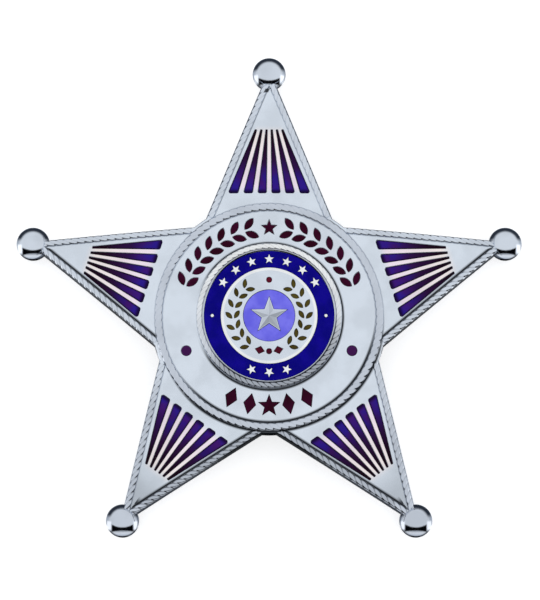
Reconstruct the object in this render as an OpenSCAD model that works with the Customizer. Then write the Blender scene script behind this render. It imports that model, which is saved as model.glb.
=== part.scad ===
// Five-point star badge with ball tips, rope borders, enamel bars and a centre medallion.
// It lies face up: +Z is out of its face, +Y is its top, and Z = 0 is what its balls rest on.
// Lengths are in millimetres and angles in degrees.

/* [Star] */
// Distance from the star's centre to the centre of each ball tip
tip_r = 37.4; // [30:0.1:50]
// Radius of each ball tip
ball_r = 2.5; // [2:0.05:3.5]
// Angle between the two edges of an arm
arm_angle = 44.2; // [38:0.1:50]
// Width of an arm where it runs into its ball
neck_w = 2.8; // [2:0.05:3.6]

/* [Plate] */
// Radius of the dome that the face follows
dome_r = 140; // [100:1:300]
// Thickness of the plate
plate_t = 1.8; // [1.2:0.05:2.6]
// Radius of the round centre panel
panel_r = 17.7; // [15:0.1:20]

/* [Rope borders] */
// Width of the rope border along the arms
border_w = 1; // [0.7:0.05:1.4]
// Height of that border above the face
border_h = 0.45; // [0.2:0.05:0.8]
// Flat land outside that border
border_land = 0.15; // [0.1:0.05:0.4]
// Width of the rope ring round the panel
ring_w = 1.3; // [0.8:0.05:1.6]
// Height of the rope ring above the face
ring_h = 0.55; // [0.3:0.05:0.9]
// Flat land outside the rope ring
ring_land = 0.5; // [0.2:0.05:0.9]

/* [Arm enamel] */
// Number of enamel bars on each arm
bar_n = 6; // [3:1:8]
// Share of their pitch that the bars fill at their wide ends
bar_fill = 0.68; // [0.5:0.01:0.8]
// Share of their pitch that they fill at their narrow ends
tip_fill = 0.46; // [0.4:0.01:0.8]
// How much narrower than the arm the fan of bars is
fan_margin = 0.5; // [0.2:0.1:3]
// Distance from the point of the bare field to the point that the bars aim at
fan_back = 1; // [0.5:0.1:2]
// Distance from the panel's edge to the bars' wide ends
bar_root_gap = 1; // [0.5:0.1:2]
// Length of the bars, measured along the arm
bar_l = 9.9; // [6:0.1:12]

/* [Band marks] */
// Share of the band's width that the marks take up
mark_share = 0.64; // [0.4:0.01:0.7]
// Number of leaf pairs on each side of the band
leaf_n = 7; // [4:1:9]
// Angle from one leaf pair to the next
leaf_pitch = 9; // [8.8:0.1:11]
// Angle from the band's top to its first leaf pair
leaf_first = 17; // [16:0.5:22]
// Angle from one mark to the next at the band's foot
foot_pitch = 12.5; // [12:0.1:14]
// Angle of the two dots below the horizontal
dot_drop = 22.5; // [15:0.5:28]
// Radius of the two dots
dot_r = 0.8; // [0.4:0.05:0.9]

/* [Medallion] */
// Share of the panel inside the rope ring that the medallion takes up
medal_share = 0.687; // [0.6:0.001:0.75]
// Height of its metal lines above the face
medal_h = 1; // [0.8:0.05:1.5]
// Width of its rope bezel
rim_w = 0.95; // [0.7:0.05:1.3]
// Height of the bezel above the metal lines
rim_h = 0.35; // [0.2:0.05:0.6]
// Bare slope between the bezel and the blue ring
rim_slope = 0.2; // [0.1:0.05:0.7]
// Width of the blue ring
blue_w = 2.55; // [2:0.05:3]
// Width of the metal line inside the blue ring
line_w = 0.38; // [0.3:0.02:0.6]
// Number of small stars along the top of the blue ring
top_star_n = 7; // [3:2:9]
// Number of small stars along its foot
foot_star_n = 3; // [1:2:3]
// Angle from one small star to the next
small_star_pitch = 18; // [15:0.5:20]
// Radius of the two pellets on the blue ring
pellet_r = 0.24; // [0.15:0.01:0.4]
// Share of the picture's radius that the inner disc takes
sky_share = 0.57; // [0.5:0.01:0.62]
// Number of leaf pairs on each side of the wreath
wreath_n = 7; // [4:1:7]
// Angle from one of them to the next
wreath_pitch = 17.5; // [17:0.1:19]
// Angle from the wreath's foot to its first pair
wreath_first = 31; // [29:0.5:34]

/* [Pin] */
// Distance between the hinge and the catch
pin_span = 26; // [20:0.5:32]
// Height of the pin above the star's centre
pin_y = 6; // [2:0.5:9]
// Radius of the pin's wire
wire_r = 0.55; // [0.4:0.05:0.7]
// Height of the wire's middle above what the badge rests on
wire_z = 2.4; // [2:0.1:3]
// Width of the strip that carries the pin
strip_w = 3.4; // [2.5:0.1:5]
// Thickness of that strip
strip_t = 0.7; // [0.5:0.05:1]
// Radius of the hinge and catch barrels
barrel_r = 1.5; // [1.2:0.05:1.8]
// Length of each barrel
barrel_l = 2.6; // [1.8:0.1:4]

/* [Fits] */
// Depth of the pockets that hold the enamel
pocket = 0.45; // [0.3:0.05:0.6]
// Clearance round a piece that lies on or in another
gap = 0.05; // [0.03:0.01:0.08]

/* [Hidden] */
$fn = 64;
arm_n = 5;
step_a = 360 / arm_n;
half_a = arm_angle / 2;

// Angles of the arms, from the top one round by the left
top_a = 90;
upper_left_a = top_a + step_a;
lower_left_a = top_a + 2 * step_a;
lower_right_a = top_a + 3 * step_a;
upper_right_a = top_a + 4 * step_a;

// An arm's edges cross beyond its ball, and two arms' edges meet in the valley between them
apex_r = tip_r - ball_r + neck_w / 2 / tan(half_a);
valley_r = apex_r * sin(half_a) / sin(step_a / 2 + half_a);
border_in = border_land + border_w;
ring_out_r = panel_r - ring_land;
ring_in_r = ring_out_r - ring_w;

// The balls' centres lie in the middle of the plate, and the dome's centre far below
face_at_tip = ball_r + plate_t / 2;
dome_z = face_at_tip - sqrt(dome_r * dome_r - tip_r * tip_r);
centre_y = -tip_r * (1 - cos(step_a / 2)) / 2;
tall = 2 * (dome_z + dome_r + medal_h + rim_h); // past all that the dome cuts off

// The bars of an arm aim at one point on its axis
field_apex_r = apex_r * inset_share(apex_r, valley_r, border_in);
fan_r = field_apex_r - fan_back;
bar_root_r = panel_r + bar_root_gap;
bar_tip_r = bar_root_r + bar_l;
bar_pitch = (arm_angle - fan_margin) / (bar_n - 1 + bar_fill);
bar_wide = fan_r - bar_root_r;
bar_narrow = fan_r - bar_tip_r;

// The medallion lies inside the rope ring, with a plain band between them
medal_r = medal_share * ring_in_r;
band_w = ring_in_r - medal_r;
band_r = medal_r + band_w / 2;
mark_h = mark_share * band_w;

// The medallion, from its bezel inwards
rim_in_r = medal_r - rim_w;
blue_out_r = rim_in_r - rim_slope;
blue_in_r = blue_out_r - blue_w;
blue_r = (blue_out_r + blue_in_r) / 2;
picture_r = blue_in_r - line_w;
sky_r = sky_share * picture_r;
wreath_w = picture_r - sky_r;
wreath_r = sky_r + wreath_w / 2;
small_star_r = 0.31 * blue_w;

// The underside that the pin's strip lies against
back_level = -plate_t - gap;
point_l = 3 * wire_r; // length of the wire's point beyond the catch

function polar(r, a) = [r * cos(a), r * sin(a)];

// Distance from a star's centre to its edges, and the share that an inset leaves of it
function edge_dist(out_r, in_r) = let (a = step_a / 2)
    out_r * in_r * sin(a) / sqrt(out_r * out_r + in_r * in_r - 2 * out_r * in_r * cos(a));
function inset_share(out_r, in_r, inset) = 1 - inset / edge_dist(out_r, in_r);

function star_points(out_r, in_r) =
    [for (i = [0 : 2 * arm_n - 1]) polar(i % 2 == 0 ? out_r : in_r, top_a + i * step_a / 2)];

// A corner of the bar that lies at angle a from the arm's axis, d in front of the fan's point
function bar_corner(d, a, side, inset) =
    let (wide_y = bar_wide * tan(a + side * bar_pitch * bar_fill / 2),
         narrow_y = bar_narrow * tan(a + side * bar_pitch * tip_fill / 2),
         rise = (wide_y - narrow_y) / (bar_wide - bar_narrow))
    [fan_r - d, narrow_y + (d - bar_narrow) * rise - side * inset / cos(atan(rise))];

function bar_points(a, inset) =
    let (root = bar_wide - inset, tip = bar_narrow + inset)
    [bar_corner(root, a, -1, inset), bar_corner(tip, a, -1, inset),
     bar_corner(tip, a, 1, inset), bar_corner(root, a, 1, inset)];

// Flat shapes, each drawn inset by a clearance
module star(out_r, in_r, inset = 0) {
    share = inset_share(out_r, in_r, inset);
    polygon(star_points(out_r * share, in_r * share));
}

module lozenge(l, w, inset = 0) {
    share = 1 - inset * sqrt(l * l + w * w) * 2 / (l * w);
    polygon([[l / 2 * share, 0], [0, w / 2 * share], [-l / 2 * share, 0], [0, -w / 2 * share]]);
}

module leaf(l, w, inset = 0) {
    side_r = (l * l + w * w) / 4 / w;
    intersection_for (side = [-1, 1])
        translate([0, side * (side_r - w / 2)])
            circle(side_r - inset);
}

// Two leaves that part from one stem, along +X
module leaf_pair(l, w, spread, inset = 0) {
    stem = 0.16 * l;
    for (side = [-1, 1])
        rotate(side * spread)
            translate([stem + l / 2, 0])
                leaf(l, w, inset);
}

// A shape kept between two levels of the dome, measured from the face
module on_dome(low, high) {
    difference() {
        intersection() {
            linear_extrude(tall)
                children();
            dome(high);
        }
        dome(low);
    }
}

module dome(level) {
    translate([0, 0, dome_z])
        sphere(dome_r + level, $fn = 300);
}

// Everything is drawn round the star's centre, then moved so that the origin is under the middle
module placed() {
    translate([0, centre_y, 0])
        children();
}

module arm_bars(arm_a, inset = 0) {
    rotate(arm_a)
        for (i = [0 : bar_n - 1])
            polygon(bar_points((i - (bar_n - 1) / 2) * bar_pitch, inset));
}

module band_leaves(inset = 0) {
    for (side = [0, 1], i = [0 : leaf_n - 1])
        mirror([side, 0])
            rotate(top_a - leaf_first - i * leaf_pitch)
                translate([band_r, 0])
                    rotate(90)
                        leaf_pair(0.7 * mark_h, 0.34 * mark_h, 36, inset);
}

module band_foot(inset = 0) {
    for (i = [-2 : 2])
        rotate(-top_a + i * foot_pitch)
            translate([band_r, 0])
                if (i == 0) rotate(90) star(0.55 * mark_h, 0.23 * mark_h, inset);
                else lozenge(mark_h, 0.6 * mark_h, inset);
}

module band_dots(inset = 0) {
    for (side = [0, 1])
        mirror([side, 0])
            rotate(-dot_drop)
                translate([band_r, 0])
                    circle(dot_r - inset);
}

module band_marks(inset = 0) {
    band_leaves(inset);
    band_foot(inset);
    band_dots(inset);
    translate([0, band_r])
        star(0.42 * mark_h, 0.18 * mark_h, inset);
}

module small_stars(n, middle_a, inset) {
    for (i = [0 : n - 1])
        rotate(middle_a + (i - (n - 1) / 2) * small_star_pitch)
            translate([blue_r, 0])
                rotate(-90)
                    star(small_star_r, 0.42 * small_star_r, inset);
}

module blue_area(inset = 0) {
    difference() {
        circle(blue_out_r - inset);
        circle(blue_in_r + inset);
        small_stars(top_star_n, top_a, -inset);
        small_stars(foot_star_n, -top_a, -inset);
        for (side = [-1, 1])
            translate([side * blue_r, 0])
                circle(pellet_r + inset);
    }
}

module sky_area(inset = 0) {
    difference() {
        circle(sky_r - inset);
        star(0.74 * sky_r, 0.3 * sky_r, -inset);
    }
}

module wreath_area(inset = 0) {
    for (side = [0, 1], i = [0 : wreath_n - 1])
        mirror([side, 0])
            rotate(-top_a + wreath_first + i * wreath_pitch)
                translate([wreath_r, 0])
                    rotate(90)
                        leaf_pair(0.48 * wreath_w, 0.23 * wreath_w, 40, inset);
}

module ribbon_area(inset = 0) {
    loop_l = 0.52 * wreath_w;
    loop_a = 15;
    for (side = [-1, 1])
        rotate(-top_a + side * loop_a)
            translate([wreath_r, 0])
                lozenge(0.42 * wreath_w, loop_l, inset);
    for (a = [-top_a, top_a])
        rotate(a)
            translate([wreath_r, 0])
                circle(0.15 * wreath_w - inset);
}

module medal_marks(inset = 0) {
    blue_area(inset);
    sky_area(inset);
    wreath_area(inset);
    ribbon_area(inset);
}

module plate() {
    on_dome(-plate_t, 0) {
        star(apex_r, valley_r);
        circle(panel_r);
    }
}

module borders() {
    on_dome(-plate_t / 2, border_h)
        difference() {
            star(apex_r, valley_r, border_land);
            star(apex_r, valley_r, border_in);
            circle(ring_in_r + ring_w / 2);
        }
}

module rope_ring() {
    on_dome(-plate_t / 2, ring_h)
        difference() {
            circle(ring_out_r);
            circle(ring_in_r);
        }
}

module balls() {
    for (i = [0 : arm_n - 1])
        rotate(top_a + i * step_a)
            translate([tip_r, 0, ball_r])
                sphere(ball_r);
}

module star_body() {
    color("silver")
        placed()
            difference() {
                union() {
                    plate();
                    borders();
                    rope_ring();
                    balls();
                }
                on_dome(-pocket, border_h) {
                    for (i = [0 : arm_n - 1])
                        arm_bars(top_a + i * step_a);
                    band_marks();
                }
            }
}

module arm_enamel(arm_a) {
    color("indigo")
        placed()
            on_dome(gap - pocket, -gap)
                arm_bars(arm_a, gap);
}

module band_enamel() {
    color("maroon")
        placed()
            on_dome(gap - pocket, -gap)
                band_marks(gap);
}

module medallion() {
    color("gainsboro")
        placed()
            difference() {
                on_dome(gap, medal_h + rim_h)
                    circle(medal_r);
                on_dome(medal_h, medal_h + 2 * rim_h)
                    circle(rim_in_r);
                on_dome(medal_h - pocket, medal_h + rim_h)
                    medal_marks();
            }
}

module medal_enamel() {
    placed()
        on_dome(medal_h - pocket + gap, medal_h - gap)
            children();
}

module ring_enamel() {
    color("mediumblue")
        medal_enamel()
            blue_area(gap);
}

module sky_enamel() {
    color("mediumslateblue")
        medal_enamel()
            sky_area(gap);
}

module leaf_enamel() {
    color("darkolivegreen")
        medal_enamel()
            wreath_area(gap);
}

module ribbon_enamel() {
    color("maroon")
        medal_enamel()
            ribbon_area(gap);
}

module barrel() {
    translate([-barrel_l / 2, pin_y, wire_z])
        rotate([0, 90, 0])
            cylinder(r = barrel_r, h = barrel_l);
}

module pin_back() {
    color("lightgray")
        placed() {
            on_dome(back_level - strip_t, back_level)
                translate([0, pin_y]) {
                    square([pin_span + barrel_l, strip_w], center = true);
                    for (side = [-1, 1])
                        translate([side * (pin_span + barrel_l) / 2, 0])
                            circle(strip_w / 2);
                }
            intersection() {
                for (side = [-1, 1])
                    translate([side * pin_span / 2, 0, 0]) {
                        barrel();
                        translate([-barrel_l / 2, pin_y - barrel_r, wire_z])
                            cube([barrel_l, 2 * barrel_r, tall]);
                    }
                dome(back_level);
            }
            translate([-pin_span / 2, pin_y, wire_z])
                rotate([0, 90, 0]) {
                    cylinder(r = wire_r, h = pin_span + barrel_l / 2);
                    translate([0, 0, pin_span + barrel_l / 2])
                        cylinder(r1 = wire_r, r2 = wire_r / 4, h = point_l);
                }
        }
}

star_body();
arm_enamel(top_a);  // enamel_top
arm_enamel(upper_left_a);  // enamel_upper_left
arm_enamel(lower_left_a);  // enamel_lower_left
arm_enamel(lower_right_a);  // enamel_lower_right
arm_enamel(upper_right_a);  // enamel_upper_right
band_enamel();
medallion();
ring_enamel();
sky_enamel();
leaf_enamel();
ribbon_enamel();
pin_back();
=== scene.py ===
import math
from collections import Counter

import bmesh
import bpy
import numpy as np
from mathutils import Matrix, Vector
from mathutils.geometry import delaunay_2d_cdt


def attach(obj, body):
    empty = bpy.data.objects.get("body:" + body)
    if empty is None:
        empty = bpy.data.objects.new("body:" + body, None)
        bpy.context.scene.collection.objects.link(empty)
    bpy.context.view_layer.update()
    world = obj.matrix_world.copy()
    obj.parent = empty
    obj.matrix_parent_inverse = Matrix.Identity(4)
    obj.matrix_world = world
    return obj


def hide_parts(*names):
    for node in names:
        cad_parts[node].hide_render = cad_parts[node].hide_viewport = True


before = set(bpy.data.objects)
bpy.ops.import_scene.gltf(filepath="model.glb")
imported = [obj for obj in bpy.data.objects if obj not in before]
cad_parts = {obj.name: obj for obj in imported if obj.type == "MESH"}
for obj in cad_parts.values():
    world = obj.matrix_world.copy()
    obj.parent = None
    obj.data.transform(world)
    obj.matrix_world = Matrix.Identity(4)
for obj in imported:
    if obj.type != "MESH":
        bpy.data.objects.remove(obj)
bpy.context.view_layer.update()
scene = bpy.context.scene

# lengths are in millimetres round the star's centre until a mesh is finished
mm = 0.001

# camera, square to the face but for a few degrees from below

cameraSetup = {
    "elevation": 83.5,  # degrees above the floor, from the badge's lower side
    "distance": 900,
    "pixel": 0.1506,  # size of one pixel of the picture at the balls' middle
    "imageHeight": 600,
    "sensor": 36,
    "aim": (0.13, -0.47, 2.5),
}


def addCamera(setup):
    data = bpy.data.cameras.new("camera")
    data.sensor_width = setup["sensor"]
    data.lens = setup["sensor"] / setup["imageHeight"] * setup["distance"] / setup["pixel"]
    data.clip_start = 0.01
    camera = bpy.data.objects.new("camera", data)
    scene.collection.objects.link(camera)
    tilt = math.radians(90 - setup["elevation"])
    back = Vector((0, -math.sin(tilt), math.cos(tilt))) * setup["distance"]
    camera.location = (Vector(setup["aim"]) + back) * mm
    camera.rotation_euler = (tilt, 0, 0)
    scene.camera = camera


addCamera(cameraSetup)
print("camera placed")

# the star's plan and its dome, as the metal was struck

star = {
    "arms": 5,
    "tipRadius": 37.4,  # star's centre to a ball's centre
    "ballRadius": 2.5,
    "armAngle": 44.2,
    "neckWidth": 2.8,
    "domeRadius": 140,
    "thickness": 1.8,
    "panelRadius": 17.7,
    "pocketDepth": 0.45,
}
rope = {
    "land": 0.15,  # flat metal outside the border
    "width": 1.0,
    "height": 0.45,
    "pitch": 1.14,
    "strand": 0.16,  # depth of the groove between two strands
    "slant": 0.5,  # how many strands one leans over half the rope's width
    "crest": 0.6,  # less than 1 rounds the strands more, with sharper grooves
    "squareness": 0.82,  # 1 is a half-round rope, less is flatter on its back
    "root": 0.35,  # how far it is sunk into the plate
    "start": 0.2,  # how far outside the ring a border starts
    "end": 1.6,  # how far inside a ball's centre it ends
    "perPitch": 12,
    "around": 14,
}
ropeRing = {"land": 0.5, "width": 1.3, "height": 0.55}
bezelRope = {"width": 0.86, "height": 0.34, "pitch": 0.96, "strand": 0.11, "root": 0.3}
halfStep = 180 / star["arms"]
halfArm = star["armAngle"] / 2
armTurns = [90 + arm * 2 * halfStep for arm in range(star["arms"])]


def sinD(angle):
    return math.sin(math.radians(angle))


def cosD(angle):
    return math.cos(math.radians(angle))


def tanD(angle):
    return math.tan(math.radians(angle))


apexRadius = star["tipRadius"] - star["ballRadius"] + star["neckWidth"] / 2 / tanD(halfArm)
edgeDistance = apexRadius * sinD(halfArm)  # from the star's centre to each arm edge
ropeInner = rope["land"] + rope["width"]
ringOut = star["panelRadius"] - ropeRing["land"]
ringIn = ringOut - ropeRing["width"]
faceAtTip = star["ballRadius"] + star["thickness"] / 2
domeZ = faceAtTip - math.sqrt(star["domeRadius"] ** 2 - star["tipRadius"] ** 2)
centreY = -star["tipRadius"] * (1 - cosD(halfStep)) / 2


def onDome(x, y, level):
    reach = star["domeRadius"] + level
    return Vector((x, y, domeZ + math.sqrt(reach * reach - x * x - y * y)))


def polar(radius, angle):
    return (radius * cosD(angle), radius * sinD(angle))


# flat outlines, each a function of how far it is inset, with the same points at every inset

def circleLine(radius, points):
    def line(inset):
        return [polar(radius - inset, 360 * i / points) for i in range(points)]
    return line


def cutEdges(corners, cuts):
    line = []
    for i, (x, y) in enumerate(corners):
        nextX, nextY = corners[(i + 1) % len(corners)]
        for k in range(cuts[i % len(cuts)]):
            t = k / cuts[i % len(cuts)]
            line.append((x + (nextX - x) * t, y + (nextY - y) * t))
    return line


def roundCorners(corners, radii, steps):
    line = []
    count = len(corners)
    for i in range(count):
        here = Vector(corners[i])
        before = (Vector(corners[i - 1]) - here).normalized()
        after = (Vector(corners[(i + 1) % count]) - here).normalized()
        half = before.angle(after) / 2
        reach = radii[i] / math.tan(half)
        start, end = here + before * reach, here + after * reach
        middle = here + (before + after).normalized() * radii[i] / math.sin(half)
        for k in range(steps + 1):
            t = k / steps
            side = (start * (1 - t) + end * t - middle).normalized()
            point = middle + side * radii[i]
            line.append((point.x, point.y))
    return line


def grown(corners, by):  # moved out square to the edges, with the sharp corners held back
    moved = []
    for i in range(len(corners)):
        here = Vector(corners[i])
        before = (here - Vector(corners[i - 1])).normalized()
        after = (Vector(corners[(i + 1) % len(corners)]) - here).normalized()
        out = Vector((before.y + after.y, -before.x - after.x))
        out *= min(1 / (1 + before.dot(after)), 1.5 / out.length)
        moved.append(tuple(here + out * by))
    return moved


def pointedLine(corners, flat, cuts):  # flat is how far its edges are from its middle
    def line(inset):
        share = 1 - max(inset, 0) / flat
        return cutEdges(grown([(x * share, y * share) for x, y in corners], max(-inset, 0)), [cuts])
    return line


def starLine(outer, inner, cuts):
    flat = outer * inner * sinD(halfStep) / math.dist(polar(outer, 0), polar(inner, halfStep))
    corners = [polar(inner if i % 2 else outer, 90 + i * halfStep) for i in range(10)]
    return pointedLine(corners, flat, cuts)


def lozengeLine(length, width, cuts):
    x, y = length / 2, width / 2
    return pointedLine([(x, 0), (0, y), (-x, 0), (0, -y)], x * y / math.hypot(x, y), cuts)


def leafLine(length, width, steps):
    side = (length ** 2 + width ** 2) / 4 / width

    def line(inset):
        radius, drop = side - inset, side - width / 2
        half = math.degrees(math.acos(drop / radius))
        low = [(radius * sinD(a), drop - radius * cosD(a))
               for a in np.linspace(-half, half, steps, endpoint=False)]
        return low + [(-x, -y) for x, y in low]
    return line


def standing(line):  # an outline that keeps the metal inside it, so its insets turn round
    def flipped(inset):
        return line(-inset)
    return flipped


def placed(line, *moves):  # each move is a turn in degrees, a shift, or "mirror"
    def moved(inset):
        points = line(inset)
        for move in moves:
            if move == "mirror":
                points = [(-x, y) for x, y in reversed(points)]
            elif isinstance(move, tuple):
                points = [(x + move[0], y + move[1]) for x, y in points]
            else:
                c, s = cosD(move), sinD(move)
                points = [(x * c - y * s, x * s + y * c) for x, y in points]
        return points
    return moved


def plateLine(inset):  # each arm's two edges, then the panel's arc up to the next arm
    flat, panel = edgeDistance - inset, star["panelRadius"] - inset
    normal = 90 - halfArm
    foot = math.sqrt(panel ** 2 - flat ** 2)
    tip = flat * tanD(normal)
    meet = normal - math.degrees(math.atan2(foot, flat))
    line = []
    for axis in armTurns:
        for side, near, far in ((-1, foot, tip), (1, tip, foot)):
            for t in np.linspace(near, far, plate["edgePoints"], endpoint=False):
                turn = side * (normal - math.degrees(math.atan2(t, flat)))
                line.append(polar(math.hypot(flat, t), axis + turn))
        for turn in np.linspace(meet, 2 * halfStep - meet, plate["arcPoints"], endpoint=False):
            line.append(polar(panel, axis + turn))
    return line


# enamel outlines on the arms and on the band

bars = {
    "count": 6,
    "fill": 0.68,  # share of their pitch at their wide ends
    "tipFill": 0.46,  # and at their narrow ends
    "fanMargin": 0.5,  # degrees left over beside an arm's bars
    "fanBack": 1.0,  # from where an arm's ropes meet to where its bars point
    "rootGap": 1.0,  # between the panel and the bars
    "length": 9.9,
    "corners": [0.3, 0.12, 0.12, 0.3],  # their radii, at the wide end and the narrow one
    "cornerSteps": 3,
    "sideCuts": [12, 1, 12, 2],  # the straight side after each corner
}
apexAlong = apexRadius * (1 - ropeInner / edgeDistance)  # where an arm's two ropes meet
fanRadius = apexAlong - bars["fanBack"]
barRoot = star["panelRadius"] + bars["rootGap"]
barTip = barRoot + bars["length"]
barPitch = (star["armAngle"] - bars["fanMargin"]) / (bars["count"] - 1 + bars["fill"])


def barLine(armAngle, index):
    middle = (index - (bars["count"] - 1) / 2) * barPitch
    wide, narrow = fanRadius - barRoot, fanRadius - barTip

    def corner(away, side, inset):
        wideY = wide * tanD(middle + side * barPitch * bars["fill"] / 2)
        narrowY = narrow * tanD(middle + side * barPitch * bars["tipFill"] / 2)
        rise = (wideY - narrowY) / (wide - narrow)
        return (fanRadius - away, narrowY + (away - narrow) * rise - side * inset * math.hypot(1, rise))

    def line(inset):
        root, tip = wide - inset, narrow + inset
        corners = [corner(away, side, inset) for away, side in ((root, -1), (tip, -1), (tip, 1), (root, 1))]
        radii = [max(radius - inset, 0.02) for radius in bars["corners"]]
        cuts = [cut for last in bars["sideCuts"] for cut in [1] * bars["cornerSteps"] + [last]]
        return cutEdges(roundCorners(corners, radii, bars["cornerSteps"]), cuts)
    return placed(line, armAngle)


marks = {
    "share": 0.64,  # of the band's width, for a mark of full height
    "leafCount": 7,  # pairs on either side
    "leafPitch": 9,  # degrees, as the next three are
    "leafFirst": 17,
    "footPitch": 12.5,
    "dotDrop": 22.5,
    "dotRadius": 0.8,
    # length, width and lean of a leaf, and the sizes of the other marks, as shares of the full height
    "leaf": (0.7, 0.34, 36),
    "stem": 0.16,  # and of a leaf's length
    "footStar": (0.55, 0.23),
    "topStar": (0.42, 0.18),
    "lozenge": (1.0, 0.6),
}
medal = {
    "radius": 10.923,
    "height": 1.0,
    "rimWidth": 0.95,
    "slope": 0.2,
    "blueWidth": 2.55,
    "lineWidth": 0.38,
    "topStars": 7,
    "footStars": 3,
    "starPitch": 18,
    "pelletRadius": 0.24,
    "skyShare": 0.57,
    "wreathCount": 7,
    "wreathPitch": 17.5,
    "wreathFirst": 31,
    "smallStar": (0.31, 0.1302),  # outer and inner radius, as shares of the blue's width
    "centreStar": (0.74, 0.3),  # and of the sky's radius
    # shares of the wreath's width
    "wreathLeaf": (0.48, 0.23, 40),
    "loop": (0.42, 0.52),
    "loopTurn": 15,
    "bead": 0.15,
}
blueOut = medal["radius"] - medal["rimWidth"] - medal["slope"]
blueIn = blueOut - medal["blueWidth"]
blueMiddle = (blueOut + blueIn) / 2
pictureRadius = blueIn - medal["lineWidth"]
skyRadius = medal["skyShare"] * pictureRadius


def sizes(shares, whole):
    return [share * whole for share in shares]


def leafPairs(shares, whole, steps, reach, turns):  # two leaves at each turn, and their mirror images
    length, width = sizes(shares[:2], whole)
    leaf = leafLine(length, width, steps)
    stem = marks["stem"] * length
    lines = []
    for turn in turns:
        for side in (-1, 1):
            right = placed(leaf, (stem + length / 2, 0), side * shares[2], 90, (reach, 0), turn)
            lines += [right, placed(right, "mirror")]
    return lines


def bandLines():
    middle = (medal["radius"] + ringIn) / 2
    high = marks["share"] * (ringIn - medal["radius"])
    turns = [90 - marks["leafFirst"] - i * marks["leafPitch"] for i in range(marks["leafCount"])]
    lines = leafPairs(marks["leaf"], high, 10, middle, turns)
    for i in range(-2, 3):
        mark = lozengeLine(*sizes(marks["lozenge"], high), 5)
        if i == 0:
            mark = placed(starLine(*sizes(marks["footStar"], high), 3), 90)
        lines.append(placed(mark, (middle, 0), -90 + i * marks["footPitch"]))
    for turn in (-marks["dotDrop"], 180 + marks["dotDrop"]):
        lines.append(placed(circleLine(marks["dotRadius"], 32), (middle, 0), turn))
    lines.append(placed(starLine(*sizes(marks["topStar"], high), 3), (0, middle)))
    return lines


armLines = [[barLine(turn, i) for i in range(bars["count"])] for turn in armTurns]
bandMarks = bandLines()


# one mesh in the making: rings on the dome, walls between them and filled caps

def insideLoops(points, loops):
    x, y = points[:, 0:1], points[:, 1:2]
    odd = np.zeros(len(points), bool)
    for loop in loops:
        a = np.array(loop)
        b = np.roll(a, -1, axis=0)
        crosses = (a[:, 1] > y) != (b[:, 1] > y)
        rise = np.where(b[:, 1] == a[:, 1], 1, b[:, 1] - a[:, 1])
        left = x < (b[:, 0] - a[:, 0]) * (y - a[:, 1]) / rise + a[:, 0]
        odd ^= np.logical_and(crosses, left).sum(1) % 2 == 1
    return odd


def innerPoints(loops, spacing):
    edge = np.concatenate([np.array(loop) for loop in loops])
    low, high = edge.min(0), edge.max(0)
    rows = np.arange(low[1], high[1], spacing * 0.87)  # of a triangle grid
    grid = [(x + (i % 2) * spacing / 2, y) for i, y in enumerate(rows)
            for x in np.arange(low[0], high[0], spacing)]
    if not grid:
        return []
    grid = np.array(grid)
    grid = grid[insideLoops(grid, loops)]
    if not len(grid):
        return []
    nearest = np.array([np.hypot(edge[:, 0] - x, edge[:, 1] - y).min() for x, y in grid])
    return [tuple(p) for p in grid[nearest > spacing * 0.45]]


def withoutSlivers(faces, outline):  # drops the flat triangles that lie just outside a straight outline
    sides = [[frozenset((face[i], face[i - 1])) for i in range(3)] for face in faces]
    outline = {frozenset(edge) for edge in outline}
    while True:
        uses = Counter(side for group in sides for side in group)
        kept = [all(uses[side] > 1 or side in outline for side in group) for group in sides]
        if all(kept):
            return faces
        faces = [face for face, keep in zip(faces, kept) if keep]
        sides = [group for group, keep in zip(sides, kept) if keep]


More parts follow.
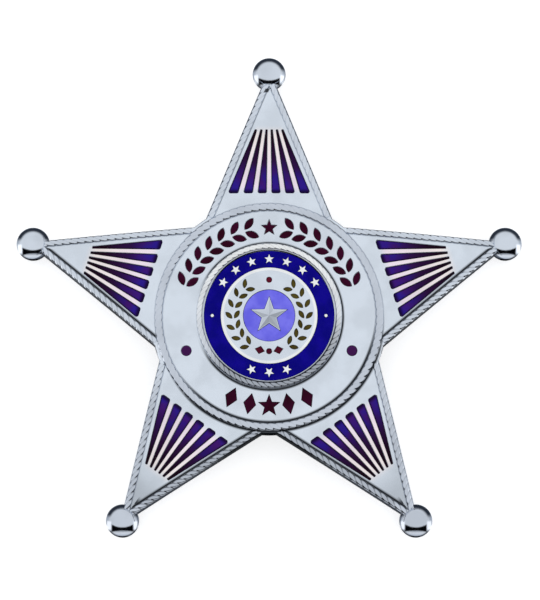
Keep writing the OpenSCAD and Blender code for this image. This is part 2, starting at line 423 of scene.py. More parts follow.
class Mesh:
    def __init__(self):
        self.points = []
        self.faces = []

    def add(self, points):
        first = len(self.points)
        self.points += [Vector(p) for p in points]
        return list(range(first, len(self.points)))

    def ring(self, loop, level):
        return self.add(onDome(x, y, level) for x, y in loop)

    def wall(self, low, high):
        n = len(low)
        self.faces += [(low[i], low[(i + 1) % n], high[(i + 1) % n], high[i]) for i in range(n)]

    def cap(self, rings, loops, level, spacing, up=True):
        known = [i for ring in rings for i in ring]
        flat = [p for loop in loops for p in loop]
        edges = []
        first = 0
        for loop in loops:
            edges += [(first + i, first + (i + 1) % len(loop)) for i in range(len(loop))]
            first += len(loop)
        extra = innerPoints(loops, spacing)
        known += self.ring(extra, level)
        flat += extra
        points, _, faces, source, _, _ = delaunay_2d_cdt([Vector(p) for p in flat], edges, [], 0, 1e-7)
        corners = np.array([[p.x, p.y] for p in points])
        faces = np.array([f for f in faces if len(f) == 3])
        inside = insideLoops(corners[faces].mean(1), loops)
        faces = [[source[i][0] for i in face] for face in faces[inside]]
        faces = withoutSlivers(faces, edges)
        self.faces += [tuple(known[i] for i in (face if up else reversed(face))) for face in faces]

    def stack(self, lines, steps, spacing):  # a closed piece whose outlines follow steps of (inset, level)
        loops = [[line(inset) for line in lines] for inset, level in steps]
        rings = [[self.ring(loop, level) for loop in group] for group, (inset, level) in zip(loops, steps)]
        for low, high in zip(rings, rings[1:]):
            for a, b in zip(low, high):
                self.wall(a, b)
        self.cap(rings[0], loops[0], steps[0][1], spacing, up=False)
        self.cap(rings[-1], loops[-1], steps[-1][1], spacing)

    def lathe(self, profile, turns, matrix):  # profile of (along, radius), from pole to pole
        rings = [self.add([matrix @ Vector((along, *polar(radius, 360 * i / turns))) for i in range(turns)])
                 for along, radius in profile[1:-1]]
        for low, high in zip(rings, rings[1:]):
            self.wall(high, low)
        for pole, ring, flip in ((profile[0], rings[0], False), (profile[-1], rings[-1], True)):
            (tip,) = self.add([matrix @ Vector((pole[0], 0, 0))])
            for i in range(turns):
                a, b = ring[i], ring[(i + 1) % turns]
                self.faces.append((tip, b, a) if not flip else (tip, a, b))

    def finish(self, name):
        mesh = bpy.data.meshes.new(name)
        mesh.from_pydata(self.points, [], self.faces)
        shell = bmesh.new()
        shell.from_mesh(mesh)
        bmesh.ops.recalc_face_normals(shell, faces=shell.faces)
        shell.to_mesh(mesh)
        shell.free()
        piece = bpy.data.objects.new(name, mesh)
        scene.collection.objects.link(piece)
        return piece


def unite(piece, others, operation="UNION"):
    bpy.context.view_layer.objects.active = piece
    for other in others:
        cut = piece.modifiers.new("join", "BOOLEAN")
        cut.operation = operation
        cut.solver = "MANIFOLD"
        cut.object = other
        bpy.ops.object.modifier_apply(modifier=cut.name)
        bpy.data.objects.remove(other)
    return piece


def settle(piece, material, nodes=(), crease=33):  # from millimetres to its place in the frame
    mesh = piece.data
    mesh.transform(Matrix.Scale(mm, 4) @ Matrix.Translation((0, centreY, 0)))
    mesh.shade_smooth()
    mesh.set_sharp_from_angle(angle=math.radians(crease))
    mesh.materials.clear()
    mesh.materials.append(material)
    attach(piece, "root")
    if nodes:
        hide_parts(*nodes)


# shader maths: a wire is one socket, and an expression on wires adds its nodes

class Wire:
    def __init__(self, tree, socket):
        self.tree = tree
        self.socket = socket

    def node(self, kind, settings=None, inputs=None, output=0):
        made = self.tree.nodes.new(kind)
        for name, value in (settings or {}).items():
            if name == "stops":
                self.fillRamp(made.color_ramp, value)
            else:
                setattr(made, name, value)
        for name, value in (inputs or {}).items():
            if isinstance(value, Wire):
                self.tree.links.new(value.socket, made.inputs[name])
            else:
                made.inputs[name].default_value = value
        return Wire(self.tree, made.outputs[output])

    def fillRamp(self, ramp, stops):
        while len(ramp.elements) < len(stops):
            ramp.elements.new(0.5)
        for element, (place, tone) in zip(ramp.elements, stops):
            element.position = place
            element.color = tone

    def maths(self, operation, *values):
        return self.node("ShaderNodeMath", {"operation": operation}, dict(enumerate((self, *values))))

    def __add__(self, other):
        return self.maths("ADD", other)

    def __sub__(self, other):
        return self.maths("SUBTRACT", other)

    def __mul__(self, other):
        return self.maths("MULTIPLY", other)

    def __truediv__(self, other):
        return self.maths("DIVIDE", other)

    def __rsub__(self, other):
        return self.node("ShaderNodeMath", {"operation": "SUBTRACT"}, {0: other, 1: self})

    def __or__(self, other):  # the larger of two masks
        return self.maths("MAXIMUM", other)

    def __abs__(self):
        return self.maths("ABSOLUTE")

    __radd__ = __add__
    __rmul__ = __mul__

    def vector(self, operation, *values, output=0):
        inputs = dict(enumerate((self, *values)))
        return self.node("ShaderNodeVectorMath", {"operation": operation}, inputs, output)

    def dot(self, way):
        return self.vector("DOT_PRODUCT", way, output=1)

    def length(self):
        return self.vector("LENGTH", output=1)

    def part(self, axis):
        return self.node("ShaderNodeSeparateXYZ", None, {0: self}, axis)

    def ramp(self, stops):
        return self.node("ShaderNodeValToRGB", {"stops": stops}, {0: self})

    def step(self, low, high):  # 0 below low and 1 above high, eased between
        return self.node("ShaderNodeMapRange", {"interpolation_type": "SMOOTHSTEP"},
                         {"Value": self, "From Min": low, "From Max": high})

    def below(self, low, high):  # the other way round
        return 1 - self.step(low, high)

    def near(self, middle, reach):  # 1 at middle, fading to 0 at reach from it
        return abs(self - middle).below(0, reach)

    def fade(self, low, high):  # this wire is the factor between two numbers
        return low + self * (high - low)

    def mix(self, low, high):  # and here between two colours
        return self.node("ShaderNodeMix", {"data_type": "RGBA"}, {0: self, 6: low, 7: high}, 2)

    def noise(self, scale, detail=3):
        return self.node("ShaderNodeTexNoise", None, {"Vector": self, "Scale": scale, "Detail": detail})

    def bump(self, strength):  # this wire is the height
        return self.node("ShaderNodeBump", None, {"Height": self, "Strength": strength, "Distance": 0.0001})


def newMaterial(name, settings):
    material = bpy.data.materials.new(name)
    material.use_nodes = True
    tree = material.node_tree
    shader = tree.nodes["Principled BSDF"]
    for socket, value in settings.items():
        shader.inputs[socket].default_value = value
    place = Wire(tree, tree.nodes.new("ShaderNodeTexCoord").outputs["Object"])
    place = place.vector("MULTIPLY", (1 / mm, 1 / mm, 1 / mm))
    place = place.vector("SUBTRACT", (0, centreY, 0))  # millimetres round the star's centre

    def feed(**wires):
        for socket, wire in wires.items():
            tree.links.new(wire.socket, shader.inputs[socket.replace("_", " ")])
    return material, place, feed


def colour(red, green, blue):  # from the 0 to 255 of a picture to linear light
    light = [c / 255 / 12.92 if c <= 10 else ((c / 255 + 0.055) / 1.055) ** 2.4 for c in (red, green, blue)]
    return (*light, 1)


def shaded(tone, share):
    return (*[c * share for c in tone[:3]], 1)


def distance(place):
    return place.vector("MULTIPLY", (1, 1, 0)).length()


def domeLevel(place):  # height above the star's face
    return place.vector("SUBTRACT", (0, 0, domeZ)).length() - star["domeRadius"]


def armPlace(place):  # folds the five arms onto one: how far along it, how far across and its direction
    turn = place.part(0).maths("ARCTAN2", place.part(1))
    step = math.radians(2 * halfStep)
    fold = (turn + step / 2 + 8 * step).maths("MODULO", step) - step / 2
    reach = distance(place)
    return reach * fold.maths("COSINE"), reach * fold.maths("SINE"), turn - fold


metal = {
    "tint": colour(208, 214, 225),
    "fieldTint": colour(226, 233, 243),
    "brightTint": colour(252, 252, 252),
    # the dark of the patina lines and of the painted shade
    "groove": colour(10, 14, 22),
    "wall": colour(168, 175, 186),  # the plate's edge wall, painted grey as shade
    "wallShade": [colour(24, 28, 36), colour(112, 120, 134)],  # painted shade on the edge walls on the lower side, near the panel and near the balls
    "ribTint": [colour(252, 236, 247), colour(255, 243, 240)],  # bare metal between two bars, wide end first
    "polish": 0.07,
    "fieldPolish": 0.17,
    "cloud": 0.9,  # the darkest clouds of the polish
    "cloudNoise": (0.9, 4),
    "fineNoise": (14, 2),
    "blotchNoise": (0.22, 3),
    "shadeWay": (0.26, -0.97, 0),  # painted shade falls below the middle, a little to the right
    "darkFrom": (0.2, 0.64),
    "shadeLineWidths": (0.11, 0.4),  # on the lit side and on the shaded side, as the next four are
    "lineShades": (0.16, 1),
    "ringStrandShade": (0.08, 0.14),
    "edgeStrandShade": (0.13, 0.4),
    "bezelStrandShade": (0.2, 0.65),
    "topLeftLine": 0.4,  # the top arm's left painted shadow line is darker than the others up there
    "lowArmStrandShade": 0.14,
    "tipShade": 0.3,  # painted shade on the two lower arms' tips
    "shadowSpot": (-0.35, 34.72, 0),  # a painted shadow spot under the top ball
    "facetWay": (0.5, -0.87, 0),  # painted shade on the centre star's facets that face this way
    "facetShade": 0.4,
}
ballFoot = star["tipRadius"] - star["ballRadius"] - 0.7  # where the ropes run into a ball's collar


def metalFinish(setup, place, feed, groove, tint, field):
    cloud, fine = place.noise(*setup["cloudNoise"]), place.noise(*setup["fineNoise"])
    blotch = place.noise(*setup["blotchNoise"]).step(0.36, 0.66)
    tint = blotch.mix(tint, tint.vector("MULTIPLY", [setup["cloud"]] * 3))
    feed(Base_Color=groove.mix(tint, setup["groove"]))
    feed(Roughness=field.fade(setup["polish"], setup["fieldPolish"]) + cloud * 0.05 + groove * 0.25)
    feed(Normal=(fine + cloud * 0.6).bump(0.05))


def valley(level, over, height):  # 1 between two strands of a rope, 0 along their backs
    over = abs(over).maths("MINIMUM", 0.95)
    back = (1 - over.maths("POWER", 2 / rope["squareness"])).maths("POWER", rope["squareness"] / 2) * height
    return (1 - level / back).step(0.1, 0.34)


# painted shade: 1 on the badge's lower side, below the middle and a little to the right
def shadedSide(setup, place, reach):
    return (place.dot(setup["shadeWay"]) / reach).step(*setup["darkFrom"])


def starMetal(setup):
    material, place, feed = newMaterial("brightMetal", {"Metallic": 1})
    reach = distance(place)
    along, across, axis = armPlace(place)
    inset = edgeDistance - (along * sinD(halfArm) + abs(across) * cosD(halfArm))
    level = domeLevel(place)
    field = level.near(0, 0.05)
    raised = level.step(0.06, 0.16)
    outside = reach.step(ringOut - 0.05, ringOut)
    lowArm = (place.part(1) * -1).step(6, 16)
    edgeTurn = axis + across.maths("SIGN") * math.radians(90 - halfArm)
    ringLow = shadedSide(setup, place, reach)
    low = outside.fade(ringLow, (edgeTurn.maths("COSINE") * -1).step(0.3, 0.7))

    # dark lines beside the ropes and round the ring: faint patina all round, with painted shadow that is
    # heavier on the lower side; and the medallion's painted shadow on the plate, left out on its left side
    lines = (inset - low * 0.1).near(ropeInner, low.fade(*setup["shadeLineWidths"])) * outside
    topLeft = (edgeTurn.maths("SINE") * -1).step(0.3, 0.9) * place.part(1).step(14, 18)
    lines = lines * (low.fade(*setup["lineShades"]) + topLeft * setup["topLeftLine"])
    ringWidth = ringLow.fade(*setup["shadeLineWidths"])
    ringLines = (reach + ringLow * 0.06).near(ringIn, ringWidth)
    ringLines = ringLines | (reach - ringLow * 0.04).near(ringOut, ringWidth)
    ringLines = ringLines * ringLow.fade(*setup["lineShades"]) * level.below(0.3, 0.56)
    medalShadow = reach.near(medal["radius"] + 0.12, 0.36) * (place.part(0) / reach).step(-0.98, -0.75)
    groove = ((lines | medalShadow) * level.below(0.16, 0.42) | ringLines) * level.step(-0.12, -0.06)

    # painted shade: in the corners where two ropes meet on the lower arms, a painted shadow spot under the
    # top ball and along the lowest notch's edge
    corner = along.step(apexAlong - 2.5, apexAlong - 1.2) * reach.below(ballFoot, ballFoot + 0.4)
    corner = corner * field * lowArm * low
    shadowSpot = place.vector("SUBTRACT", setup["shadowSpot"])
    shadowSpot = (abs(shadowSpot.dot((0.8, 0.6, 0))) * 0.5 + abs(shadowSpot.dot((-0.6, 0.8, 0)))).below(0.24, 0.4)
    notchShade = (place.part(1) * -1).step(15, 16) * reach.below(21, 26)
    edge = (inset | star["panelRadius"] - reach).below(0.3, 0.42)
    groove = groove | (corner | shadowSpot) * 0.9 | edge * notchShade

    # painted shade in the hollows between the strands, heavier on the lower side
    ringOver = (reach - (ringIn + ringOut) / 2) * (2 / ropeRing["width"])
    edgeOver = (inset - rope["land"] - rope["width"] / 2) * (2 / rope["width"])
    ringStrandShade = valley(level, ringOver, ropeRing["height"]) * abs(ringOver).below(0.8, 0.95)
    edgeStrandShade = valley(level, edgeOver, rope["height"]) * abs(edgeOver).below(0.8, 0.95)
    edgeStrandShade = edgeStrandShade * (low.fade(*setup["edgeStrandShade"]) + lowArm * setup["lowArmStrandShade"])
    ringStrandShade = ringStrandShade * low.fade(*setup["ringStrandShade"])
    strands = outside.fade(ringStrandShade, edgeStrandShade) * level.step(0.06, 0.14)

    # the tint: brightest between the bars; the upper arms' raised metal painted lighter, and the lower arms'
    # ropes and tips painted darker as shade; the edge walls grey, painted near black as shade on the lower
    # side
    fan = abs(across.maths("ARCTAN2", fanRadius - along) * (180 / math.pi)).below(19, 21.5)
    fan = fan * along.step(barRoot - 0.1, barRoot + 1.2) * along.below(barTip - 1, barTip + 0.8)
    tint = (field | outside * (1 - lowArm) * 0.5).mix(setup["tint"], setup["fieldTint"])
    tint = (fan * field).mix(tint, along.step(barRoot, barTip).mix(*setup["ribTint"]))
    lowArmShade = raised * lowArm * low.fade(0.06, 0.2) * reach.below(ballFoot - 0.8, ballFoot - 0.2) * outside
    lowArmShade = lowArmShade + field * lowArm * along.step(27, 32.5) * setup["tipShade"]
    tint = (lowArmShade + strands).mix(tint, setup["groove"])
    wall = low.mix(setup["wall"], reach.step(18, 30).mix(*setup["wallShade"]))
    tint = level.below(-0.2, -0.06).mix(tint, wall)
    metalFinish(setup, place, feed, groove, tint, field)
    return material


def medalMetal(setup):
    material, place, feed = newMaterial("medalMetal", {"Metallic": 1})
    reach = distance(place)
    level = domeLevel(place)
    face = medal["height"]
    low = shadedSide(setup, place, reach)
    bezel = level.step(face + 0.06, face + 0.12) * reach.step(blueOut - 0.1, blueOut + 0.1)
    # painted shade: a line inside the bezel, heavier on the lower side, and the medallion's sides below its
    # face
    seamShade = reach.near(medal["radius"] - medal["rimWidth"] + 0.05, 0.16) * low.fade(0.3, 0.9)
    groove = seamShade | level.below(0.5, 1.0)
    over = (reach - medal["radius"] + medal["rimWidth"] / 2) * (2 / bezelRope["width"])
    strands = valley(level - face - 0.02, over, bezelRope["height"])
    # the metal in the blue ring is painted near white, and so is the slope outside it as a painted highlight,
    # fading out towards the bottom
    inBlue = reach.step(pictureRadius - 0.1, pictureRadius) * reach.below(blueOut - 0.1, blueOut)
    bright = inBlue | reach.step(blueOut + 0.1, blueOut + 0.3) * place.part(1).step(-11, 11)
    tint = bright.mix(level.near(face, 0.04).mix(setup["tint"], setup["fieldTint"]), setup["brightTint"])
    # painted shade on the centre star's facets that face down and to the right
    facet = place.node("ShaderNodeNewGeometry", None, None, "True Normal").dot(setup["facetWay"])
    facet = facet.step(-0.08, 0.16) * setup["facetShade"] * reach.below(skyRadius, skyRadius + 0.05)
    tint = facet.mix(tint, setup["groove"])
    # painted shade on the bezel and in its hollows, heavier on the lower side
    tint = (bezel * (low * 0.35 + strands * low.fade(*setup["bezelStrandShade"]))).mix(tint, setup["groove"])
    metalFinish(setup, place, feed, groove, tint, level.near(face, 0.03))
    return material


def pinMetal(setup):
    material, place, feed = newMaterial("pinMetal", {"Metallic": 1})
    drawn = place.vector("MULTIPLY", (0.6, 6, 6)).noise(3, 3)
    feed(Base_Color=place.noise(0.7, 3).mix(setup["tint"], shaded(setup["tint"], 0.82)))
    feed(Roughness=drawn.fade(0.2, 0.36))
    feed(Normal=drawn.bump(0.12))
    return material


# fired enamel: glossy, a little uneven in tone and darker where it thins at its edges

enamel = {
    "violet": [colour(42, 24, 134), colour(64, 20, 108)],
    "violetEdge": colour(16, 0, 30),
    "violetMiddle": colour(40, 10, 56),
    "violetTip": colour(20, 0, 12),
    "maroon": [colour(44, 0, 21), colour(56, 2, 35)],
    "dot": colour(64, 22, 76),
    "blue": [colour(4, 0, 118), colour(13, 2, 137)],
    "sky": [colour(124, 120, 238), colour(104, 100, 226)],
    "olive": [colour(82, 72, 28), colour(64, 54, 18)],
    "ribbon": [colour(92, 16, 36), colour(70, 8, 30)],
    "gloss": 0.04,
}


def enamelFinish(tone, darkness=None):
    material, place, feed = newMaterial(tone + "Enamel", {"Specular IOR Level": enamel["gloss"]})
    shade = place.noise(0.45, 3).step(0.35, 0.68).mix(*enamel[tone])
    for mask, darker in darkness(place) if darkness else []:
        shade = mask.mix(shade, enamel[darker])
    feed(Base_Color=shade)
    feed(Roughness=place.noise(2.5, 3).fade(0.12, 0.26))
    feed(Normal=place.noise(3, 3).bump(0.1))
    return material


def barDarkness(place):  # along a bar's sides, at its wide end and towards its narrow end
    along, across, _ = armPlace(place)
    bar = across.maths("ARCTAN2", fanRadius - along) * (180 / math.pi / barPitch) + 8
    run = (along - barRoot) / bars["length"]
    fromMiddle = abs(bar.maths("FRACT") - 0.5) * 2 / run.fade(bars["fill"], bars["tipFill"])
    edge = fromMiddle.step(0.55, 0.92) | run.below(0.02, 0.09)
    run = run + place.noise(0.3, 2).fade(-0.15, 0.15)
    return [(run.step(0.08, 0.56), "violetMiddle"), (edge * 0.88, "violetEdge"),
            (run.step(0.46, 0.9) * 0.96, "violetTip")]


def dotDarkness(place):  # the two dots are nearer to violet
    return [(abs(place.part(0)).step(11, 11.2) * place.part(1).below(-1, 1), "dot")]


brightMetal = starMetal(metal)
plateMetal = medalMetal(metal)
satinMetal = pinMetal({"tint": colour(206, 208, 213)})
violetEnamel = enamelFinish("violet", barDarkness)
maroonEnamel = enamelFinish("maroon", dotDarkness)
blueEnamel, skyEnamel, oliveEnamel, ribbonEnamel = map(enamelFinish, ["blue", "sky", "olive", "ribbon"])
print("metal and enamel mixed")

# ball tips, turned with a collar that the arm runs into

ball = {
    "turns": 56,
    "rings": 30,
    "neckRadius": 1.12,
    "collarRadius": 1.42,
    "collarFrom": 3.55,  # towards the arm, from the ball's centre
    "collar": [(0, 0), (0, 0.55), (0.08, 0.8), (0.25, 0.95), (0.45, 1), (0.7, 1), (0.88, 0.95),
               (1.02, 0.87)],  # along it, and the share of its radius
}


def ballTip(setup, axis):
    radius = star["ballRadius"]
    start = math.degrees(math.asin(setup["neckRadius"] / radius))
    foot, wide = setup["collarFrom"], setup["collarRadius"]
    profile = [(along - foot, share * wide) for along, share in setup["collar"]]
    profile += [(-radius * cosD(a), radius * sinD(a)) for a in np.linspace(start, 180, setup["rings"])]
    profile[-1] = (radius, 0)
    matrix = Matrix.Rotation(math.radians(axis), 4, "Z") @ Matrix.Translation((star["tipRadius"], 0, radius))
    tip = Mesh()
    tip.lathe(profile, setup["turns"], matrix)
    return tip.finish("ballTip")


# rope borders: a half-round bar whose strands part along a slanting groove

def ropeMesh(path, closed, setup, level=0.0, pitch=None):
    setup = rope | setup
    pitch = pitch or setup["pitch"]
    width, height, strand = setup["width"] / 2, setup["height"], setup["strand"]
    section = []
    for a in np.linspace(0, 180, setup["around"]):
        over = abs(cosD(a)) ** setup["squareness"] * (1 if a < 90 else -1)
        section.append((over, abs(sinD(a)) ** setup["squareness"]))
    made = Mesh()
    rings = []
    run = 0.0
    count = len(path)
    for i, (x, y) in enumerate(path):
        if i:
            run += math.dist(path[i], path[i - 1])
        before = path[i - 1] if closed or i else path[i]
        after = path[(i + 1) % count] if closed or i + 1 < count else path[i]
        ahead = (onDome(*after, level) - onDome(*before, level)).normalized()
        middle = onDome(x, y, level)
        out = (middle - Vector((0, 0, domeZ))).normalized()
        side = out.cross(ahead).normalized()
        ring = []
        for over, up in section:
            turn = math.pi * (run / pitch + over * setup["slant"])
            groove = strand * (1 - abs(math.cos(turn)) ** setup["crest"])
            ring.append(middle + side * (over * (width - groove * 0.5)) + out * (up * (height - groove)))
        ring += [middle + side * (over * width) - out * setup["root"] for over in (-1, 0, 1)]
        rings.append(made.add(ring))
    for low, high in zip(rings, rings[1:]):
        made.wall(low, high)
    if closed:
        made.wall(rings[-1], rings[0])
    else:
        made.faces += [tuple(rings[0]), tuple(rings[-1])]
    return made.finish("rope")


def borderRopes():
    flat = edgeDistance - rope["land"] - rope["width"] / 2
    start = math.sqrt((ringOut + rope["start"]) ** 2 - flat ** 2)
    end = math.sqrt((star["tipRadius"] - rope["end"]) ** 2 - flat ** 2)
    steps = round((end - start) / rope["pitch"] * rope["perPitch"])
    made = []
    for axis in armTurns:
        for side in (-1, 1):
            normal = axis + side * (90 - halfArm)
            out, ahead = polar(flat, normal), polar(1, normal - side * 90)
            run = [(out[0] + ahead[0] * t, out[1] + ahead[1] * t) for t in np.linspace(start, end, steps)]
            made.append(ropeMesh(run, False, rope))
    return made


def ringRope(radius, setup, level=0.0):
    turns = round(2 * math.pi * radius / (rope | setup)["pitch"])
    count = turns * rope["perPitch"]
    path = [polar(radius, 360 * i / count) for i in range(count)]
    length = count * math.dist(path[0], path[1])
    return ropeMesh(path, True, setup, level, length / turns)


# the struck plate: drafted edge, face with pockets, domed back

plate = {
    "edge": [(0.34, -1.8), (0.14, -1.77), (0.03, -1.66), (0.0, -1.5), (0.04, -1.0), (0.1, -0.45),
             (0.16, -0.1), (0.2, -0.03), (0.27, 0.0)],  # inset and level
    "lip": 0.03,  # worn edge of each pocket
    "spacing": 1.3,
    "edgePoints": 30,
    "arcPoints": 12,
}


def reliefMesh(outer, setup, marks, face):  # a solid inside its outer line, with a pocket for each mark
    edge, lip, spacing = setup["edge"], setup["lip"], setup["spacing"]
    made = Mesh()
    loops = [outer(inset) for inset, level in edge]
    rings = [made.ring(loop, level) for loop, (inset, level) in zip(loops, edge)]
    for low, high in zip(rings, rings[1:]):
        made.wall(low, high)
    made.cap([rings[0]], [loops[0]], edge[0][1], spacing, up=False)
    floor = face - star["pocketDepth"]
    flats = {face: ([], []), floor: ([], [])}
    flats[edge[-1][1]][0].append(rings[-1])
    flats[edge[-1][1]][1].append(loops[-1])
    for mark in marks:
        markLoops = [mark(-lip), mark(0), mark(0)]
        markRings = [made.ring(loop, level) for loop, level in zip(markLoops, (face, face - lip, floor))]
        for high, low in zip(markRings, markRings[1:]):
            made.wall(high, low)
        for level, k in ((face, 0), (floor, 2)):
            flats[level][0].append(markRings[k])
            flats[level][1].append(markLoops[k])
    for level, (rings, loops) in flats.items():
        made.cap(rings, loops, level, spacing)
    return made


def starBody():
    pockets = sum(armLines, []) + bandMarks
    body = reliefMesh(plateLine, plate, pockets, 0).finish("starBody")
    ring = ringRope((ringIn + ringOut) / 2, ropeRing)
    return unite(body, borderRopes() + [ring] + [ballTip(ball, axis) for axis in armTurns])


settle(starBody(), brightMetal, ["star_body"])
print("star struck")

# the applied medallion: bezel rope, slope, blue ring and the picture inside it

wreathWidth = pictureRadius - skyRadius
wreathMiddle = skyRadius + wreathWidth / 2
smallStar = sizes(medal["smallStar"], medal["blueWidth"])
centreStar = sizes(medal["centreStar"], skyRadius)


def smallStars(cuts):
    turns = []
    for count, middle in ((medal["topStars"], 90), (medal["footStars"], -90)):
        turns += [middle + (i - (count - 1) / 2) * medal["starPitch"] for i in range(count)]
    line = starLine(*smallStar, cuts)
    return [placed(line, -90, (blueMiddle, 0), turn) for turn in turns]


def ribbons():  # two loops at the wreath's foot, and beads at its foot and top
    loop = lozengeLine(*sizes(medal["loop"], wreathWidth), 5)
    bead = circleLine(medal["bead"] * wreathWidth, 24)
    spots = [(loop, -90 - medal["loopTurn"]), (loop, -90 + medal["loopTurn"]), (bead, -90), (bead, 90)]
    return [placed(line, (wreathMiddle, 0), turn) for line, turn in spots]


blueLines = [circleLine(blueOut, 200), standing(circleLine(blueIn, 180))]
pellet = circleLine(medal["pelletRadius"], 20)
pellets = [placed(pellet, (side * blueMiddle, 0)) for side in (-1, 1)]
blueLines += [standing(line) for line in smallStars(2) + pellets]
skyLines = [circleLine(skyRadius, 120), standing(starLine(*centreStar, 8))]
leafTurns = [medal["wreathFirst"] - 90 + i * medal["wreathPitch"] for i in range(medal["wreathCount"])]
leafLines = leafPairs(medal["wreathLeaf"], wreathWidth, 9, wreathMiddle, leafTurns)
ribbonLines = ribbons()

medalBody = {
    "edge": [(0.25, 0.05), (0.08, 0.1), (0.0, 0.24), (0.0, 0.8), (0.03, 0.93), (0.1, 1.02), (0.84, 1.1),
             (0.92, 1.15), (0.99, 1.13), (1.06, 1.06), (1.11, 1.02), (1.15, 0.98),
             (medal["radius"] - blueOut, medal["height"] - star["pocketDepth"])],
    "lip": 0.025,
    "spacing": 0.8,
    "ropeLift": 0.02,
    # how far the faceted stars stay inside their outlines, and how far they stand up
    "centreStar": (0.08, 0.2),
    "smallStar": (0.03, 0.06),
}


def facetStar(line, inset, rise, sunk=0.1):  # five ridges that rise to a peak
    level = medal["height"]
    made = Mesh()
    loop = line(inset)
    low, high = made.ring(loop, level - sunk), made.ring(loop, level + 0.01)
    made.wall(low, high)
    middle = (sum(x for x, y in loop) / len(loop), sum(y for x, y in loop) / len(loop))
    foot, peak = made.ring([middle, middle], level - sunk)
    made.points[peak] = onDome(*middle, level + rise)
    for i in range(len(loop)):
        after = (i + 1) % len(loop)
        made.faces += [(high[i], high[after], peak), (low[after], low[i], foot)]
    return made.finish("facetStar")


def medallionPiece(setup):
    pockets = blueLines[1:] + skyLines + leafLines + ribbonLines
    body = reliefMesh(circleLine(medal["radius"], 200), setup, pockets, medal["height"])
    body = body.finish("medallionPlate")
    raised = [facetStar(starLine(*centreStar, 1), *setup["centreStar"])]
    raised += [facetStar(line, *setup["smallStar"]) for line in smallStars(1)]
    rim = ringRope(medal["radius"] - medal["rimWidth"] / 2, bezelRope, medal["height"] + setup["ropeLift"])
    return unite(body, [rim] + raised)


settle(medallionPiece(medalBody), plateMetal, ["medallion"])
print("medallion struck")

# enamel, fused a little below the metal and rounded where it meets it

fill = {
    "gap": 0.05,
    "spacing": 0.9,
    "barRound": 0.07,  # how far the enamel's edge rounds off
    "markRound": 0.06,
}


def enamelPiece(name, groups, face, fall, material, node):
    gap = fill["gap"]
    floor, top = face - star["pocketDepth"] + gap, face - gap
    steps = [(gap + 0.03, floor), (gap, floor + 0.03), (gap, top - fall * 0.8),
             (gap + fall * 0.25, top - fall * 0.3), (gap + fall, top)]
    made = Mesh()
    for group in groups:
        made.stack(group, steps, fill["spacing"])
    settle(made.finish(name), material, [node])


def alone(lines):  # each outline is a piece of enamel by itself
    return [[line] for line in lines]


for place, lines in zip(["top", "upper_left", "lower_left", "lower_right", "upper_right"], armLines):
    enamelPiece("enamel" + place.title().replace("_", ""), alone(lines), 0, fill["barRound"],
                violetEnamel, "enamel_" + place)
face, fall = medal["height"], fill["markRound"]
enamelPiece("enamelBand", alone(bandMarks), 0, fall, maroonEnamel, "band_enamel")
enamelPiece("enamelRing", [blueLines], face, fall, blueEnamel, "ring_enamel")
enamelPiece("enamelSky", [skyLines], face, fall, skyEnamel, "sky_enamel")
enamelPiece("enamelLeaves", alone(leafLines), face, fall, oliveEnamel, "leaf_enamel")
enamelPiece("enamelRibbon", alone(ribbonLines), face, fall, ribbonEnamel, "ribbon_enamel")
print("enamel fired")

# the pin: a strip soldered to the back, with a hinge, a wire and a safety catch

pin = {
    "span": 26,
    "height": 6,  # above the star's centre
    "wireRadius": 0.55,
    "wireLevel": 2.4,
    "wirePoint": [(0.5, 0.473), (1.0, 0.33), (1.4, 0.187), (1.62, 0.1), (1.65, 0)],  # along it and its radius
    "stripWidth": 3.4,
    "stripThickness": 0.7,
    "stripEdge": [(0.12, 0), (0.035, 0.035), (0, 0.12), (0, 0.62), (0.06, 0.7)],  # inset and level
    "barrelRadius": 1.5,
    "barrelLength": 2.6,
    "knuckles": 3,  # on the hinge's rivet
    "knuckleGap": 0.04,
    "knuckleEdge": [(0, 0.84), (0.03, 0.94), (0.1, 1)],  # along it, and the share of the barrel's radius
    "drum": [(1.3, 0), (1.3, 0.9), (1.18, 1.12), (0.62, 1.12), (0.56, 1.4), (0.46, 1.5)],  # half the catch
    "standLength": 0.84,  # of the block that carries a barrel, as a share of the barrel
    "standWidth": 2.1,
    # two corners of each, from the catch's middle
    "lever": [(-0.3, -2.05, -0.1), (0.3, -1.0, 0.35)],
    "slot": [(-2.6, -0.28, -3), (2.6, 0.28, -0.75)],  # where the wire's point goes in
}


def stadiumLine(length, width, steps):
    def line(inset):
        radius = width / 2 - inset
        points = []
        for side in (1, -1):
            points += [(side * (length / 2 + radius * cosD(a)), side * radius * sinD(a))
                       for a in np.linspace(-90, 90, steps)]
        return cutEdges(points, [1] * (steps - 1) + [24])
    return line


def turned(profile, x, turns):  # a profile of (along, radius), turned on the pin's own axis
    made = Mesh()
    made.lathe(profile, turns, Matrix.Translation((x, pin["height"], pin["wireLevel"])))
    return made.finish("turned")


def blockMesh(low, high, bevel):
    made = Mesh()
    corners = [(x, y, z) for z in (low[2], high[2]) for x, y in
               ((low[0], low[1]), (high[0], low[1]), (high[0], high[1]), (low[0], high[1]))]
    ring = made.add(corners)
    made.faces += [tuple(ring[:4]), tuple(ring[4:])]
    made.wall(ring[:4], ring[4:])
    block = made.finish("block")
    shell = bmesh.new()
    shell.from_mesh(block.data)
    bmesh.ops.bevel(shell, geom=shell.edges, offset=bevel, segments=3, profile=0.5, affect="EDGES")
    shell.to_mesh(block.data)
    shell.free()
    return block


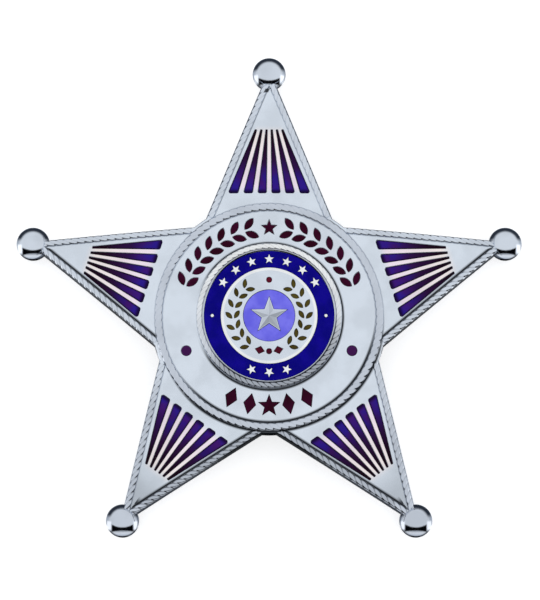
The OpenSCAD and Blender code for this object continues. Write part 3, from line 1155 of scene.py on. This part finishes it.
def pinPiece(setup):
    back = -star["thickness"] - fill["gap"]
    base = back - setup["stripThickness"]
    half, radius, length = setup["span"] / 2, setup["barrelRadius"], setup["barrelLength"]
    y, z, wide = setup["height"], setup["wireLevel"], setup["standWidth"] / 2
    strip = Mesh()
    line = placed(stadiumLine(setup["span"] + length, setup["stripWidth"], 14), (0, y))
    strip.stack([line], [(inset, base + level) for inset, level in setup["stripEdge"]], 1.5)
    body = strip.finish("pinStrip")

    knuckles = []
    for i in range(setup["knuckles"]):
        start = -length / 2 + i * length / setup["knuckles"] + setup["knuckleGap"]
        end = start + length / setup["knuckles"] - 2 * setup["knuckleGap"]
        knuckles += [(start + along, radius * share) for along, share in setup["knuckleEdge"]]
        knuckles += [(end - along, radius * share) for along, share in reversed(setup["knuckleEdge"])]
    knuckles = [(knuckles[0][0], 0)] + knuckles + [(knuckles[-1][0], 0)]
    drum = [(-along, width) for along, width in setup["drum"]] + setup["drum"][::-1]
    wireEnd = half + length / 2
    wire = [(-half, 0), (-half, setup["wireRadius"]), (wireEnd, setup["wireRadius"])]
    wire += [(wireEnd + along, width) for along, width in setup["wirePoint"]]
    parts = [turned(knuckles, -half, 48), turned(drum, half, 48), turned(wire, 0, 24)]
    reach = length * setup["standLength"] / 2
    top = onDome(half, y, base + setup["stripThickness"] / 2).z
    parts += [blockMesh((x - reach, y - wide, z), (x + reach, y + wide, top), 0.12) for x in (-half, half)]

    def atCatch(corners):
        return [(half + right, y + up, z + out) for right, up, out in corners]

    body = unite(body, parts + [blockMesh(*atCatch(setup["lever"]), 0.1)])
    return unite(body, [blockMesh(*atCatch(setup["slot"]), 0.02)], "DIFFERENCE")


settle(pinPiece(pin), satinMetal, ["pin_back"])
print("pin soldered on")

# floor and light

studio = {
    "floorSize": 4000,
    "floorTone": colour(205, 205, 207),
    "floorGlow": 0.66,
    "boxHeight": 300,
    "boxSize": 800,
    "boxGlow": 0.25,
    "boxTint": (0.95, 0.975, 1.0),
    "tent": colour(238, 241, 243),  # pale cloth all round
    "sideShade": colour(172, 180, 192),
    "backWall": colour(50, 56, 66),  # low down behind the tent
    "rim": colour(170, 178, 188),
    "table": [(0.0, colour(220, 226, 234)), (0.25, colour(204, 210, 218)), (0.55, colour(242, 246, 250)),
              (0.75, colour(255, 255, 255)), (1.0, colour(120, 128, 140))],  # from its edge to the opening
    "opening": colour(4, 5, 8),  # the dark front of the tent, where the camera stands
    "card": (1.5, 1.5, 1.5, 1),  # a white card on either side
    "lowRim": colour(40, 46, 56),
    # each part's sides, from its outer edge to where it is full, by the slope of the metal that mirrors it
    "sideZone": [(0.74, 0.9), (0.6, 0.3)],
    "wallZone": [(0.68, 0.84), (0.1, 0.4)],
    "rimZone": [(0.95, 0.99), (0, 0.2)],
    "tableZone": [(-0.56, -0.62)],
    "openingZone": [(-0.33, -0.39), (-0.6, -0.54), (0.72, 0.6)],
    "cardZone": [(0.62, 0.72), (0.96, 0.88), (0.06, -0.1), (-0.6, -0.44)],
    "lowRimZone": [(0.84, 0.94), (-0.5, -0.66)],
    "footZone": [(0.88, 0.93), (0.34, 0.2), (-0.8, -0.9)],
    "tableDepth": 0.42,
    "bows": (0.2, 0.4),  # how far the table's edge and the opening curve at their sides
}


def addFloor(setup):
    half = setup["floorSize"] / 2
    floor = Mesh()
    corners = [(-half, -half, 0), (half, -half, 0), (half, half, 0), (-half, half, 0)]
    floor.faces.append(tuple(floor.add(corners)))
    floor = floor.finish("floor")
    floor.data.transform(Matrix.Scale(mm, 4))
    floor.visible_glossy = False  # the metal mirrors the tent and its table instead
    paint = {"Roughness": 0.8, "Emission Strength": setup["floorGlow"], "Emission Color": (1, 1, 1, 1)}
    material, place, feed = newMaterial("floorPaint", paint)
    feed(Base_Color=place.noise(0.02, 2).mix(setup["floorTone"], shaded(setup["floorTone"], 0.99)))
    floor.data.materials.append(material)


def addPanel(setup):  # soft light from overhead for the floor and the enamel
    data = bpy.data.lights.new("overheadBox", "AREA")
    data.shape = "SQUARE"
    data.size = setup["boxSize"] * mm
    data.energy = setup["boxGlow"] * math.pi * data.size ** 2
    data.color = setup["boxTint"]
    panel = bpy.data.objects.new("overheadBox", data)
    panel.location = Vector((0, 0, setup["boxHeight"])) * mm
    panel.visible_camera = panel.visible_glossy = False
    scene.collection.objects.link(panel)


def addRoom(setup):  # laid out by the slope of polished metal that mirrors each part to the camera
    world = bpy.data.worlds.new("room")
    world.use_nodes = True
    tree = world.node_tree
    ahead = Wire(tree, tree.nodes.new("ShaderNodeTexCoord").outputs["Generated"])
    lean = 90 - cameraSetup["elevation"]
    slope = ahead.vector("ADD", (0, -sinD(lean), cosD(lean))).vector("NORMALIZE")
    across = abs(slope.part(0))
    up = slope.dot((0, cosD(lean), sinD(lean)))
    bow = across * across
    steep = (bow + up * up).maths("SQRT")
    tableBow, openingBow = (bow * share for share in setup["bows"])

    def zone(name, *measures):
        mask = 1
        for measure, (edge, full) in zip(measures, setup[name]):
            mask = mask * (measure.step(edge, full) if edge < full else measure.below(full, edge))
        return mask

    table = ((up + 1) * (1 / setup["tableDepth"])).ramp(setup["table"])
    tone = setup["tent"]
    for mask, part in [
        (zone("sideZone", across, up) * 0.7, setup["sideShade"]),
        (zone("wallZone", steep, up), setup["backWall"]),
        (zone("rimZone", steep, up) * 0.5, setup["rim"]),
        (zone("tableZone", up + tableBow), table),
        (zone("openingZone", up - openingBow, up + tableBow, across), setup["opening"]),
        (zone("cardZone", across, across, up, up), setup["card"]),
        (zone("lowRimZone", steep, up) * 0.85, setup["lowRim"]),
        (zone("footZone", steep, across, up), setup["opening"]),
    ]:
        tone = mask.mix(tone, part)
    tree.links.new(tone.socket, tree.nodes["Background"].inputs["Color"])
    scene.world = world


addFloor(studio)
addPanel(studio)
addRoom(studio)
scene.view_settings.view_transform = "Standard"
print("room lit")
